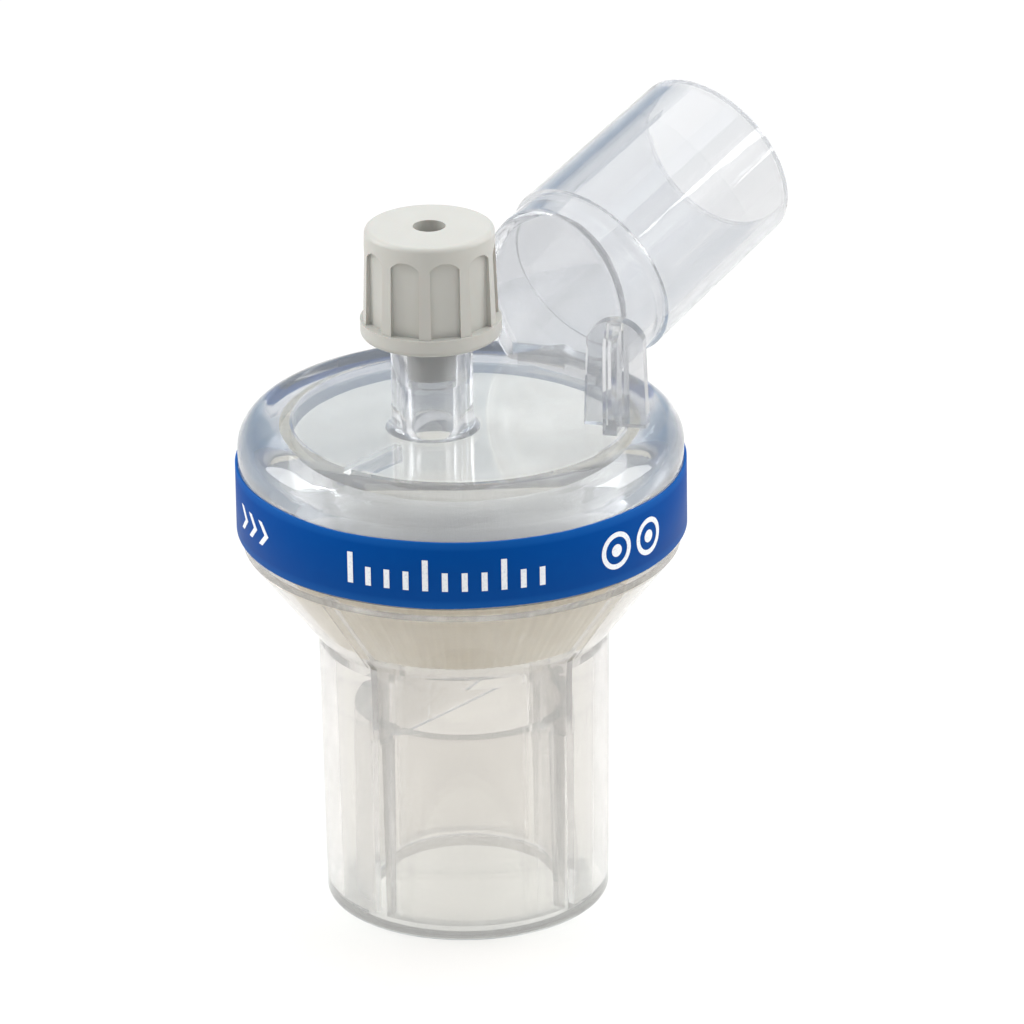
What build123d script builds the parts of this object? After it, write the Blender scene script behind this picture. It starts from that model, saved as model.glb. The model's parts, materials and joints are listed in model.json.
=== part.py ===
from build123d import *
import os
from math import cos, radians, sin

# A paediatric heat and moisture exchanging filter for a breathing circuit.
# Millimetres. The origin is the centre of the lower end face, +Z goes up the filter,
# and +X is the way that the angled tube points.

# Patient port, a 22 mm male cone outside and a 15 mm female cone inside
CONE_TAPER = 1 / 80          # radius gained for each mm of length, which is 1:40 on the diameter
MALE_22_TIP_R = 10.97
MALE_22_WALL = 1.2
PORT_LENGTH = 22.2
FEMALE_15_MOUTH_R = 7.74
FEMALE_15_WALL = 1.05
SOCKET_LENGTH = 16.2
END_THICKNESS = 1.0
PORT_EDGE_R = 0.5
WEB_THICKNESS = 1.0
WEB_SETBACK = 0.6            # how far the webs stop below the socket's rim
WEBS = 4

# Lower shell, above the port
CONE_FOOT_STEP = 0.13        # how far the cone's foot stands out from the port's root
FLANGE_STEP = 0.3            # how far the flange lies inside the upper shell's skirt
CONE_TOP_Z = 29.4
SHELL_WALL = 1.15
SEAM_Z = 30.5                # where the two shells meet
SPIGOT_WALL = 1.0
SPIGOT_TOP_Z = 34.8
SUPPORT_RIB_THICKNESS = 1.0
SUPPORT_RIB_DEPTH = 0.5
SUPPORT_RIBS = 4
CROSS_WEB_THICKNESS = 0.6    # the web across the socket's inner end, under the core
SIDE_WEB_INNER_R = 6.6

# Upper shell
SKIRT_R = 17.15
SKIRT_WALL = 1.1
SPIGOT_CLEARANCE = 0.05
SHOULDER_Z = 37.2
SHOULDER_WIDTH = 2.55
ROOF_Z = 39.7
ROOF_THICKNESS = 1.2
CORNER_WIDTH = 3.15          # of the slanted corner inside the skirt
CORNER_FOOT_Z = 35.6
ROOF_RIB_THICKNESS = 0.7
ROOF_RIB_INNER_R = 7.2
RING_INSET = 2.95            # from the skirt's bore to the inside of the ring round the pad
RING_THICKNESS = 0.8

# What the shells hold
CORE_CLEARANCE = 0.1
CORE_FOOT_RISE = 1.1         # how far up the cone the core starts
CORE_FOOT_GAP = 0.1          # between the core and the webs under it
TURN_PITCH = 1.3             # of the paper's turns
TURN_GROOVE = 0.3
TURN_GROOVE_DEPTH = 0.5
TURN_RINGS = 6
PAD_THICKNESS = 2.2
PAD_EDGE = 0.5
PAD_EDGE_CLEARANCE = 0.1
PAD_GAP = 0.1

# Label
LABEL_BOTTOM_Z = 30.6
LABEL_HEIGHT = 5.55
LABEL_THICKNESS = 0.2
LABEL_GLUE_GAP = 0.01

# Angled tube, a 15 mm male cone
TUBE_ELEVATION = 18.0
TUBE_AXIS_Z = 41.45          # height at which the tube's axis crosses the filter's axis
TUBE_LENGTH = 32.3           # from that crossing to the mouth
TUBE_TIP_R = 7.38
TUBE_WALL = 0.95
TUBE_CONE_LENGTH = 15.8
TUBE_STEP = 0.35
TUBE_STEP_LENGTH = 0.5
HOOD_STEP = 0.3              # how far the hood lies inside the cone's root
HOOD_REAR_X = 10.9           # the hood ends in an upright wall at this distance from the axis
HOOD_WALL = 1.2
HOOD_EDGE_R = 0.7
SLOT_FRONT_X = 15.4          # the slot in the roof runs from the hood's wall to here
SLOT_REAR_HALF = 4.5
SLOT_FRONT_HALF = 2.0

# Sampling port
PORT_OFFSET = 3.2            # from the filter's axis, away from the angled tube
PORT_R = 3.15
PORT_TOP_Z = 53.0
PORT_FOOT_R = 0.7
SAMPLE_TAPER = 0.03            # radius lost for each mm of depth
SAMPLE_MOUTH_R = 2.15
SAMPLE_DEPTH = 9.6
SAMPLE_HOLE_R = 1.6
LUG_R = 3.85
LUG_WIDTH = 2.6
LUG_HEIGHT = 0.9

# Parking post
POST_ANGLE = -63.0
POST_DISTANCE = 12.3
POST_TOP_Z = 48.3
POST_WIDTH = 4.4
POST_FIN = 1.1
POST_DRAFT = 2.0
POST_CROWN_R = 1.5

# Cap
CAP_BOTTOM_Z = 47.2
CAP_HEIGHT = 8.7
CAP_BASE_R = 5.4
CAP_BASE_HEIGHT = 1.35
CAP_R = 5.2
CAP_TOP_R = 4.95
CAP_EDGE_R = 0.45
CAP_GRIPS = 10
CAP_GRIP_WIDTH = 0.75
CAP_PANEL_DEPTH = 0.32
CAP_PANEL_TOP_GAP = 1.25
CAP_PANEL_RISE = 0.6
CAP_WALL = 1.0
CAP_ROOF = 1.6
CAP_PIT_R = 1.25
CAP_PIT_DEPTH = 6.5
PLUG_REACH = 3.2             # how far the plug hangs below the cap's skirt
PLUG_CLEARANCE = 0.06

# Worked out from the sizes above
cone_foot_z = PORT_LENGTH
male_root_r = MALE_22_TIP_R + CONE_TAPER * PORT_LENGTH
socket_rim_bore_r = FEMALE_15_MOUTH_R - CONE_TAPER * SOCKET_LENGTH
socket_outer_r = FEMALE_15_MOUTH_R + FEMALE_15_WALL
socket_rim_outer_r = socket_outer_r - CONE_TAPER * SOCKET_LENGTH
web_top_z = SOCKET_LENGTH - WEB_SETBACK
web_outer_r = male_root_r - MALE_22_WALL / 2
cone_foot_r = male_root_r + CONE_FOOT_STEP
cone_top_r = SKIRT_R - FLANGE_STEP
skirt_bore_r = SKIRT_R - SKIRT_WALL
spigot_r = skirt_bore_r - SPIGOT_CLEARANCE
spigot_bore_r = spigot_r - SPIGOT_WALL
roof_flat_r = SKIRT_R - SHOULDER_WIDTH
roof_under_z = ROOF_Z - ROOF_THICKNESS
corner_r = skirt_bore_r - CORNER_WIDTH
tube_bore_root_r = male_root_r - MALE_22_WALL

core_r = spigot_bore_r - CORE_CLEARANCE
inner_slope = (spigot_bore_r - cone_foot_r + SHELL_WALL) / (CONE_TOP_Z - cone_foot_z)
core_foot_z = cone_foot_z + CORE_FOOT_RISE
core_wall_r = cone_foot_r - SHELL_WALL + inner_slope * CORE_FOOT_RISE
core_foot_r = core_wall_r - SUPPORT_RIB_DEPTH - CORE_CLEARANCE
core_top_z = SPIGOT_TOP_Z
ring_inner_r = skirt_bore_r - RING_INSET
ring_bottom_z = core_top_z + PAD_GAP
pad_bottom_z = core_top_z + PAD_GAP
pad_top_z = pad_bottom_z + PAD_THICKNESS
pad_r = ring_inner_r - PAD_EDGE_CLEARANCE

tube_dir = Vector(cos(radians(TUBE_ELEVATION)), 0, sin(radians(TUBE_ELEVATION)))
tube_foot = Vector(0, 0, TUBE_AXIS_Z)
tube_root_r = TUBE_TIP_R + CONE_TAPER * TUBE_CONE_LENGTH
tube_shoulder = TUBE_LENGTH - TUBE_CONE_LENGTH
hood_r = tube_root_r - HOOD_STEP
hood_bore_r = tube_root_r - TUBE_WALL - TUBE_STEP
hood_inside_x = HOOD_REAR_X + HOOD_WALL
slot_top_z = TUBE_AXIS_Z + HOOD_REAR_X * sin(radians(TUBE_ELEVATION))

slant_plane = Plane(origin=tube_foot, x_dir=tube_dir, z_dir=(0, -1, 0))
tube_axis = Axis(tube_foot, tube_dir)

port_axis = Axis((-PORT_OFFSET, 0, 0), (0, 0, 1))
sample_floor_r = SAMPLE_MOUTH_R - SAMPLE_TAPER * SAMPLE_DEPTH
post_centre = (POST_DISTANCE * cos(radians(POST_ANGLE)), POST_DISTANCE * sin(radians(POST_ANGLE)), 0)
post_foot_z = ROOF_Z - ROOF_THICKNESS / 2
post_foot_half = POST_WIDTH / 2 + (POST_TOP_Z - POST_CROWN_R - post_foot_z) * sin(radians(POST_DRAFT))

cap_top_z = CAP_BOTTOM_Z + CAP_HEIGHT
cap_ceiling_z = cap_top_z - CAP_ROOF
cap_bore_r = CAP_R - CAP_WALL
plug_bottom_z = CAP_BOTTOM_Z - PLUG_REACH
plug_root_r = SAMPLE_MOUTH_R - PLUG_CLEARANCE
plug_bottom_r = plug_root_r - SAMPLE_TAPER * (PORT_TOP_Z - plug_bottom_z)
panel_half = CAP_TOP_R * sin(radians(180 / CAP_GRIPS)) - CAP_GRIP_WIDTH / 2
panel_spring_z = cap_top_z - CAP_PANEL_TOP_GAP - CAP_PANEL_RISE

os.makedirs("parts", exist_ok=True)


def write(part, name):
    """Labels a finished piece and writes its STEP file."""
    part.label = name
    export_step(part, f"parts/{name}.step")


# Lower shell: the port, the cone and the spigot are one turned section, closed at the lower end
with BuildPart() as lower_housing:
    with BuildSketch(Plane.XZ):
        with BuildLine():
            Polyline(
                (FEMALE_15_MOUTH_R, 0),
                (MALE_22_TIP_R, 0),
                (male_root_r, cone_foot_z),
                (cone_foot_r, cone_foot_z),
                (cone_top_r, CONE_TOP_Z),
                (cone_top_r, SEAM_Z),
                (spigot_r, SEAM_Z),
                (spigot_r, SPIGOT_TOP_Z),
                (spigot_bore_r, SPIGOT_TOP_Z),
                (spigot_bore_r, CONE_TOP_Z),
                (cone_foot_r - SHELL_WALL, cone_foot_z),
                (tube_bore_root_r, cone_foot_z - SHELL_WALL),
                (MALE_22_TIP_R - MALE_22_WALL, END_THICKNESS),
                (socket_outer_r, END_THICKNESS),
                (socket_rim_outer_r, SOCKET_LENGTH),
                (socket_rim_bore_r, SOCKET_LENGTH),
                close=True,
            )
        make_face()
    revolve(axis=Axis.Z)
    end_circles = lower_housing.edges().filter_by(GeomType.CIRCLE).group_by(Axis.Z)[0]
    fillet(end_circles.sort_by(SortBy.RADIUS)[-1], PORT_EDGE_R)
    # Four webs join the two tubes
    with BuildSketch(Plane.XZ):
        with BuildLine():
            Polyline(
                (socket_rim_outer_r - FEMALE_15_WALL / 2, END_THICKNESS / 2),
                (MALE_22_TIP_R - MALE_22_WALL / 2, END_THICKNESS / 2),
                (web_outer_r, web_top_z),
                (socket_rim_outer_r - FEMALE_15_WALL / 2, web_top_z),
                close=True,
            )
        make_face()
    web = extrude(amount=WEB_THICKNESS / 2, both=True, mode=Mode.PRIVATE)
    with PolarLocations(0, WEBS):
        add(web)
    # Over the socket a thin web runs right across, and two short ones stand beside it
    for inner_r, start_angle in ((0, 0), (SIDE_WEB_INNER_R, 90)):
        with BuildSketch(Plane.XY.offset(web_top_z)):
            with PolarLocations((inner_r + web_outer_r) / 2, 2, start_angle=start_angle):
                Rectangle(web_outer_r - inner_r, CROSS_WEB_THICKNESS)
        extrude(amount=core_foot_z - CORE_FOOT_GAP - web_top_z)
    # Low ribs up the cone keep the core off the wall
    with BuildSketch(Plane.XZ):
        with BuildLine():
            Polyline(
                (cone_foot_r - SHELL_WALL / 2, cone_foot_z),
                (cone_top_r - SHELL_WALL, CONE_TOP_Z - SHELL_WALL / 2),
                (spigot_bore_r, CONE_TOP_Z),
                (spigot_bore_r - SUPPORT_RIB_DEPTH, CONE_TOP_Z),
                (cone_foot_r - SHELL_WALL - SUPPORT_RIB_DEPTH, cone_foot_z),
                close=True,
            )
        make_face()
    support_rib = extrude(amount=SUPPORT_RIB_THICKNESS / 2, both=True, mode=Mode.PRIVATE)
    with PolarLocations(0, SUPPORT_RIBS):
        add(support_rib)

# Upper shell: skirt, rounded shoulder and roof, first as solid forms and then hollowed
with BuildPart() as upper_housing:
    with BuildSketch(Plane.XZ):
        with BuildLine():
            Line((0, SEAM_Z), (SKIRT_R, SEAM_Z))
            Line((SKIRT_R, SEAM_Z), (SKIRT_R, SHOULDER_Z))
            EllipticalCenterArc(
                (roof_flat_r, SHOULDER_Z), SKIRT_R - roof_flat_r, ROOF_Z - SHOULDER_Z,
                start_angle=0, arc_size=90,
            )
            Line((roof_flat_r, ROOF_Z), (0, ROOF_Z))
            Line((0, ROOF_Z), (0, SEAM_Z))
        make_face()
    revolve(axis=Axis.Z)

    # The angled tube and the hood behind it are one turned bar on the slanted axis
    with BuildSketch(slant_plane):
        with BuildLine():
            Polyline(
                (0, 0),
                (0, hood_r),
                (tube_shoulder, hood_r),
                (tube_shoulder, tube_root_r),
                (TUBE_LENGTH, TUBE_TIP_R),
                (TUBE_LENGTH, 0),
                close=True,
            )
        make_face()
    tube_bar = revolve(axis=tube_axis, mode=Mode.PRIVATE)
    behind_wall = Box(2 * HOOD_REAR_X, 4 * tube_root_r, 4 * PORT_TOP_Z, mode=Mode.PRIVATE)
    hood = tube_bar - behind_wall
    add(hood.fillet(HOOD_EDGE_R, hood.edges().filter_by(GeomType.ELLIPSE)))

    # Sampling port, with a flared foot on the roof
    with BuildSketch(Plane.XZ):
        with BuildLine():
            Polyline(
                (-PORT_OFFSET, roof_under_z),
                (-PORT_OFFSET + PORT_R + PORT_FOOT_R, roof_under_z),
                (-PORT_OFFSET + PORT_R + PORT_FOOT_R, ROOF_Z),
            )
            CenterArc(
                (-PORT_OFFSET + PORT_R + PORT_FOOT_R, ROOF_Z + PORT_FOOT_R), PORT_FOOT_R, 180, 90,
            )
            Polyline(
                (-PORT_OFFSET + PORT_R, ROOF_Z + PORT_FOOT_R),
                (-PORT_OFFSET + PORT_R, PORT_TOP_Z),
                (-PORT_OFFSET, PORT_TOP_Z),
                (-PORT_OFFSET, roof_under_z),
            )
        make_face()
    revolve(axis=port_axis)
    with BuildSketch(Plane.XY.offset(PORT_TOP_Z - LUG_HEIGHT)):
        with Locations((-PORT_OFFSET, 0)):
            Circle(LUG_R)
            Rectangle(2 * LUG_R, LUG_WIDTH, mode=Mode.INTERSECT)
    extrude(amount=LUG_HEIGHT)

    # Parking post: crossed fins with draft and a rounded crown
    with BuildSketch(Plane.XZ):
        with BuildLine():
            Polyline(
                (-post_foot_half, post_foot_z),
                (post_foot_half, post_foot_z),
                (POST_WIDTH / 2, POST_TOP_Z - POST_CROWN_R),
            )
            ThreePointArc(
                (POST_WIDTH / 2, POST_TOP_Z - POST_CROWN_R),
                (0, POST_TOP_Z),
                (-POST_WIDTH / 2, POST_TOP_Z - POST_CROWN_R),
            )
            Line((-POST_WIDTH / 2, POST_TOP_Z - POST_CROWN_R), (-post_foot_half, post_foot_z))
        make_face()
    post_fin = extrude(amount=POST_FIN / 2, both=True, mode=Mode.PRIVATE)
    with Locations(post_centre):
        with PolarLocations(0, 2, start_angle=POST_ANGLE, angular_range=180):
            add(post_fin)

    # The inside: the chamber over the filter pad, with a slanted corner under the shoulder
    with BuildSketch(Plane.XZ):
        with BuildLine():
            Polyline(
                (0, SEAM_Z),
                (skirt_bore_r, SEAM_Z),
                (skirt_bore_r, CORNER_FOOT_Z),
                (corner_r, roof_under_z),
                (0, roof_under_z),
                close=True,
            )
        make_face()
    revolve(axis=Axis.Z, mode=Mode.SUBTRACT)

    # A ring round the pad holds the core down, and one rib under the roof holds the pad down
    with BuildSketch(Plane.XY.offset(ring_bottom_z)):
        Circle(ring_inner_r + RING_THICKNESS)
        Circle(ring_inner_r, mode=Mode.SUBTRACT)
    extrude(amount=roof_under_z + ROOF_THICKNESS / 2 - ring_bottom_z)
    with BuildSketch(Plane.XZ):
        with BuildLine():
            Polyline(
                (-ROOF_RIB_INNER_R, roof_under_z + ROOF_THICKNESS / 2),
                (-ROOF_RIB_INNER_R, pad_top_z + PAD_GAP),
                (-ring_inner_r - RING_THICKNESS / 2, pad_top_z + PAD_GAP),
                (-ring_inner_r - RING_THICKNESS / 2, roof_under_z + ROOF_THICKNESS / 2),
                close=True,
            )
        make_face()
    extrude(amount=ROOF_RIB_THICKNESS / 2, both=True)

    # The inside of the angled tube, stepped where the cone ends, runs back to the hood's wall
    with BuildSketch(slant_plane):
        with BuildLine():
            Polyline(
                (0, 0),
                (0, hood_bore_r),
                (tube_shoulder - TUBE_STEP_LENGTH, hood_bore_r),
                (tube_shoulder, tube_root_r - TUBE_WALL),
                (TUBE_LENGTH, TUBE_TIP_R - TUBE_WALL),
                (TUBE_LENGTH, 0),
                close=True,
            )
        make_face()
    bore_bar = revolve(axis=tube_axis, mode=Mode.PRIVATE)
    behind_bore = Box(2 * hood_inside_x, 4 * tube_root_r, 4 * PORT_TOP_Z, mode=Mode.PRIVATE)
    add(bore_bar - behind_bore, mode=Mode.SUBTRACT)

    # A slot through the roof joins the chamber to the tube
    with BuildSketch(Plane.XY.offset(roof_under_z - ROOF_THICKNESS)):
        with BuildLine():
            Polyline(
                (hood_inside_x, SLOT_REAR_HALF),
                (hood_inside_x, -SLOT_REAR_HALF),
                (SLOT_FRONT_X, -SLOT_FRONT_HALF),
                (SLOT_FRONT_X, SLOT_FRONT_HALF),
                close=True,
            )
        make_face()
    extrude(amount=slot_top_z - roof_under_z + ROOF_THICKNESS, mode=Mode.SUBTRACT)

    # The inside of the sampling port: a tapered socket over a plain hole
    with BuildSketch(Plane.XZ):
        with BuildLine():
            Polyline(
                (-PORT_OFFSET, roof_under_z),
                (-PORT_OFFSET + SAMPLE_HOLE_R, roof_under_z),
                (-PORT_OFFSET + SAMPLE_HOLE_R, PORT_TOP_Z - SAMPLE_DEPTH),
                (-PORT_OFFSET + sample_floor_r, PORT_TOP_Z - SAMPLE_DEPTH),
                (-PORT_OFFSET + SAMPLE_MOUTH_R, PORT_TOP_Z),
                (-PORT_OFFSET, PORT_TOP_Z),
                close=True,
            )
        make_face()
    revolve(axis=port_axis, mode=Mode.SUBTRACT)

# Paper core, which fills the cone and the spigot, and the fleece pad over it
with BuildPart() as exchanger_core:
    with BuildSketch(Plane.XZ):
        with BuildLine():
            Polyline(
                (0, core_foot_z),
                (core_foot_r, core_foot_z),
                (core_r - SUPPORT_RIB_DEPTH, CONE_TOP_Z),
                (core_r, CONE_TOP_Z + SUPPORT_RIB_DEPTH),
                (core_r, core_top_z),
                (0, core_top_z),
                close=True,
            )
        make_face()
    revolve(axis=Axis.Z)
    # The turns of the roll show in its lower end as rings, cut from the outermost inwards
    with BuildSketch(Plane.XY.offset(core_foot_z)):
        for ring in range(1, TURN_RINGS + 1):
            ring_r = core_foot_r - ring * TURN_PITCH
            Circle(ring_r)
            Circle(ring_r - TURN_GROOVE, mode=Mode.SUBTRACT)
    extrude(amount=TURN_GROOVE_DEPTH, mode=Mode.SUBTRACT)

with BuildPart() as filter_pad:
    with BuildSketch(Plane.XZ):
        with BuildLine():
            Polyline(
                (0, pad_bottom_z),
                (pad_r, pad_bottom_z),
                (pad_r, pad_top_z - PAD_EDGE),
                (pad_r - PAD_EDGE, pad_top_z),
                (0, pad_top_z),
                close=True,
            )
        make_face()
    revolve(axis=Axis.Z)

# Printed film round the skirt, which hides the seam
with BuildPart() as label_band:
    with BuildSketch(Plane.XY.offset(LABEL_BOTTOM_Z)):
        Circle(SKIRT_R + LABEL_GLUE_GAP + LABEL_THICKNESS)
        Circle(SKIRT_R + LABEL_GLUE_GAP, mode=Mode.SUBTRACT)
    extrude(amount=LABEL_HEIGHT)

# Cap: a turned shell with a sealing plug, and grip panels sunk into its side
with BuildPart() as port_cap:
    with BuildSketch(Plane.XZ):
        with BuildLine():
            Polyline(
                (-PORT_OFFSET, cap_top_z),
                (-PORT_OFFSET, plug_bottom_z),
                (-PORT_OFFSET + plug_bottom_r, plug_bottom_z),
                (-PORT_OFFSET + plug_root_r, cap_ceiling_z),
                (-PORT_OFFSET + cap_bore_r, cap_ceiling_z),
                (-PORT_OFFSET + cap_bore_r, CAP_BOTTOM_Z),
                (-PORT_OFFSET + CAP_BASE_R, CAP_BOTTOM_Z),
                (-PORT_OFFSET + CAP_BASE_R, CAP_BOTTOM_Z + CAP_BASE_HEIGHT),
                (-PORT_OFFSET + CAP_R, CAP_BOTTOM_Z + CAP_BASE_HEIGHT),
                (-PORT_OFFSET + CAP_TOP_R, cap_top_z),
                close=True,
            )
        make_face()
    revolve(axis=port_axis)
    rims = port_cap.edges().filter_by(GeomType.CIRCLE).group_by(Axis.Z)
    fillet([rims[-1][0], rims[1].sort_by(SortBy.RADIUS)[-1]], CAP_EDGE_R)
    with Locations((-PORT_OFFSET, 0, cap_top_z)):
        Hole(CAP_PIT_R, depth=CAP_PIT_DEPTH)
    # A panel is a slot with a round top, cut in from outside between two grips
    with BuildSketch(Plane.YZ.offset(CAP_TOP_R - CAP_PANEL_DEPTH)):
        with BuildLine():
            Polyline(
                (-panel_half, panel_spring_z),
                (-panel_half, CAP_BOTTOM_Z + CAP_BASE_HEIGHT),
                (panel_half, CAP_BOTTOM_Z + CAP_BASE_HEIGHT),
                (panel_half, panel_spring_z),
            )
            ThreePointArc(
                (panel_half, panel_spring_z),
                (0, panel_spring_z + CAP_PANEL_RISE),
                (-panel_half, panel_spring_z),
            )
        make_face()
    panel = extrude(amount=CAP_BASE_R, mode=Mode.PRIVATE)
    with Locations((-PORT_OFFSET, 0, 0)):
        with PolarLocations(0, CAP_GRIPS, start_angle=180 / CAP_GRIPS):
            add(panel, mode=Mode.SUBTRACT)

write(lower_housing.part, "lower_housing")
write(upper_housing.part, "upper_housing")
write(exchanger_core.part, "exchanger_core")
write(filter_pad.part, "filter_pad")
write(label_band.part, "label_band")
write(port_cap.part, "port_cap")
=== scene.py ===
# %% [markdown]
# # A clear filter for a breathing circuit
# The filter is mostly clear plastic, so this lesson is about glass-like walls: closed shells of a real
# thickness, rounded edges that catch the light, and things inside that show through. The shells and
# the cap come in with the frame at their exact shape. The paper roll, the fleece and the printed film
# are made here, because their look is in folds, fibres and ink that a plain solid doesn't have.
# Sizes are written in millimetres and become metres when a mesh is made.

# %% Libraries and the frame
import json
import math

import bmesh
import bpy
import numpy as np
from mathutils import Matrix, Vector
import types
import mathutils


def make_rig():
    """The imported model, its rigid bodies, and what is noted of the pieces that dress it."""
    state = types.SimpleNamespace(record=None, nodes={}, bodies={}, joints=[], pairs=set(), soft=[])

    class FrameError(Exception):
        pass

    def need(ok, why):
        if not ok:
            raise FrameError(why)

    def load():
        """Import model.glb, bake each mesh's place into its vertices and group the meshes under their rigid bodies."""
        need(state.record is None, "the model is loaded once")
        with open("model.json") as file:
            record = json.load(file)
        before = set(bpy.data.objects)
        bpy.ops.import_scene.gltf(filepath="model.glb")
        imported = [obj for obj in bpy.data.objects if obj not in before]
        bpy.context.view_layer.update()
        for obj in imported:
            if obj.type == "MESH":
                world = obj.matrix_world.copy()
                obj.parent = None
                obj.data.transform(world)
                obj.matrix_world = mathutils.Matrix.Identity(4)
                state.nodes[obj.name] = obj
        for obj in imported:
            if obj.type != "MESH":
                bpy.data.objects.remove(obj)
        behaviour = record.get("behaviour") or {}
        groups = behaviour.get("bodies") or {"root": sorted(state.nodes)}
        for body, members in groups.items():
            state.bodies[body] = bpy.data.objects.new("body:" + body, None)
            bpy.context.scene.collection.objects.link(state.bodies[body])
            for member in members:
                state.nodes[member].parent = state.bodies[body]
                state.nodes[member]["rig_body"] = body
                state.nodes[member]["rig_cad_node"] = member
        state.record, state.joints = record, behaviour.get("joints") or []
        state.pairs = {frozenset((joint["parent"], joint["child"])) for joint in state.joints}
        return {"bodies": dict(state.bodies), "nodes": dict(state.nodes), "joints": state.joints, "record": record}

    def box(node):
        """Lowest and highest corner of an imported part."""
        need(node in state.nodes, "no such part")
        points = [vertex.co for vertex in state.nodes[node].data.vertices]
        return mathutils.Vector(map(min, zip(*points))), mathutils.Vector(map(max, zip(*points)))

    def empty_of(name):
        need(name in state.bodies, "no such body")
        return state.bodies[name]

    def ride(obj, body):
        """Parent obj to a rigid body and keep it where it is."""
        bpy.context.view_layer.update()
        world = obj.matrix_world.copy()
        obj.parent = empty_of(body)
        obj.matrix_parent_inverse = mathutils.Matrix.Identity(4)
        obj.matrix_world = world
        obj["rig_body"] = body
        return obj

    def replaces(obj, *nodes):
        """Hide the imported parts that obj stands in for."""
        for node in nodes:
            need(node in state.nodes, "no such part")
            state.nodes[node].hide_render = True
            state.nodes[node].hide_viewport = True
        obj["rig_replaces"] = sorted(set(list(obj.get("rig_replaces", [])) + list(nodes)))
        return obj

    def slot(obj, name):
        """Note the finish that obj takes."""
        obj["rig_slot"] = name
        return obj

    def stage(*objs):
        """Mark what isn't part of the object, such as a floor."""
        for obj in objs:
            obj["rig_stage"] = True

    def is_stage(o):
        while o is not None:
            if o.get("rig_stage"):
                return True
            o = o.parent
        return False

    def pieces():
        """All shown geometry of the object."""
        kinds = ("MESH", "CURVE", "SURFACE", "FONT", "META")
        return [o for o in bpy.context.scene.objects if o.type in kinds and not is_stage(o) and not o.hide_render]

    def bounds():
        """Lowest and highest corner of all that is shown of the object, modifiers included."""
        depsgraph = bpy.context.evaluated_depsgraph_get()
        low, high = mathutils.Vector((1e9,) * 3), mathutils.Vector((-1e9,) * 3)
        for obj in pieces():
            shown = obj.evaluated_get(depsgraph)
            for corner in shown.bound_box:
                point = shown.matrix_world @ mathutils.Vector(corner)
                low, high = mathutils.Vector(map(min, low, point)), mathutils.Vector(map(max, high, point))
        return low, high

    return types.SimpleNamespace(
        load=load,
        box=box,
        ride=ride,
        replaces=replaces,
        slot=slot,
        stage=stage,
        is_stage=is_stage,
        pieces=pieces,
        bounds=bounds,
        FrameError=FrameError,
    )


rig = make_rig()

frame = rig.load()
cad_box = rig.bounds()
MM = 0.001
print("nodes:", sorted(frame["nodes"]))

# %% [markdown]
# ## The camera first
# The photograph looks down at the filter by about 23 degrees, from the side where the angled tube
# points away. A camera fitted to the outline of the round parts gives its small roll and the point
# that lies at the picture's centre. A long lens from 0.7 m keeps the upright walls straight.

# %% Camera
CAMERA_AZIMUTH = -49.4       # degrees; 0 looks along +Y and 90 along -X
CAMERA_ELEVATION = 22.57
CAMERA_ROLL = 0.873
CAMERA_DISTANCE = 700 * MM
AIM_HEIGHT = 30 * MM         # the height on the filter's axis that the fit was made for
AIM_PIXEL = (462.2, 528.8)   # where that height lies in the photograph
PIXELS_PER_MM = 12.983
PICTURE = 1024
SENSOR_MM = 36.0


def towards(azimuth, elevation):
    """The unit vector from the filter to a viewer: azimuth turns it about Z from -Y, and elevation
    lifts it from the floor."""
    a, e = math.radians(azimuth), math.radians(elevation)
    return Vector((math.sin(a) * math.cos(e), -math.cos(a) * math.cos(e), math.sin(e)))


back = towards(CAMERA_AZIMUTH, CAMERA_ELEVATION)
level_right = Vector((0, 0, 1)).cross(back).normalized()
level_up = back.cross(level_right)
roll = math.radians(CAMERA_ROLL)
right = level_right * math.cos(roll) - level_up * math.sin(roll)
up = level_right * math.sin(roll) + level_up * math.cos(roll)
off_right = (PICTURE / 2 - AIM_PIXEL[0]) / PIXELS_PER_MM * MM
off_up = (AIM_PIXEL[1] - PICTURE / 2) / PIXELS_PER_MM * MM
aim = Vector((0, 0, AIM_HEIGHT)) + right * off_right + up * off_up

camera_data = bpy.data.cameras.new("camera")
camera_data.sensor_width = SENSOR_MM
camera_data.lens = PIXELS_PER_MM * CAMERA_DISTANCE / MM * SENSOR_MM / PICTURE
camera = bpy.data.objects.new("camera", camera_data)
bpy.context.collection.objects.link(camera)
camera.matrix_world = (Matrix.Translation(aim + back * CAMERA_DISTANCE)
                       @ Matrix((right, up, back)).transposed().to_4x4())
bpy.context.scene.camera = camera
print("lens", round(camera_data.lens, 1), "mm")

# %% [markdown]
# ## Colours and nodes
# Colours are picked as the sRGB hex values that a paint program shows. Blender's shaders want linear
# light, so one function converts them. A second function adds a node with its settings and links,
# which keeps each material short enough to read as a recipe. A third fills a colour ramp. All patterns
# read Object coordinates, which are metres here, so a scale is one over the size of the pattern.
#
# Sockets are named where their names are unique. A Mix node has several sockets of one name, so its
# sockets go by number: 0 is the factor, 6 and 7 are the two colours, and output 2 is the mixed colour.

# %% Colour and node helpers
def linear(hex_code):
    """sRGB hex to linear light: each channel below 0.04045 is divided by 12.92, and any other is
    ((c + 0.055) / 1.055) to the power 2.4."""
    c = np.array([int(hex_code[i:i + 2], 16) for i in (1, 3, 5)]) / 255
    c = np.where(c <= 0.04045, c / 12.92, ((c + 0.055) / 1.055) ** 2.4)
    return (*c.tolist(), 1.0)


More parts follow.
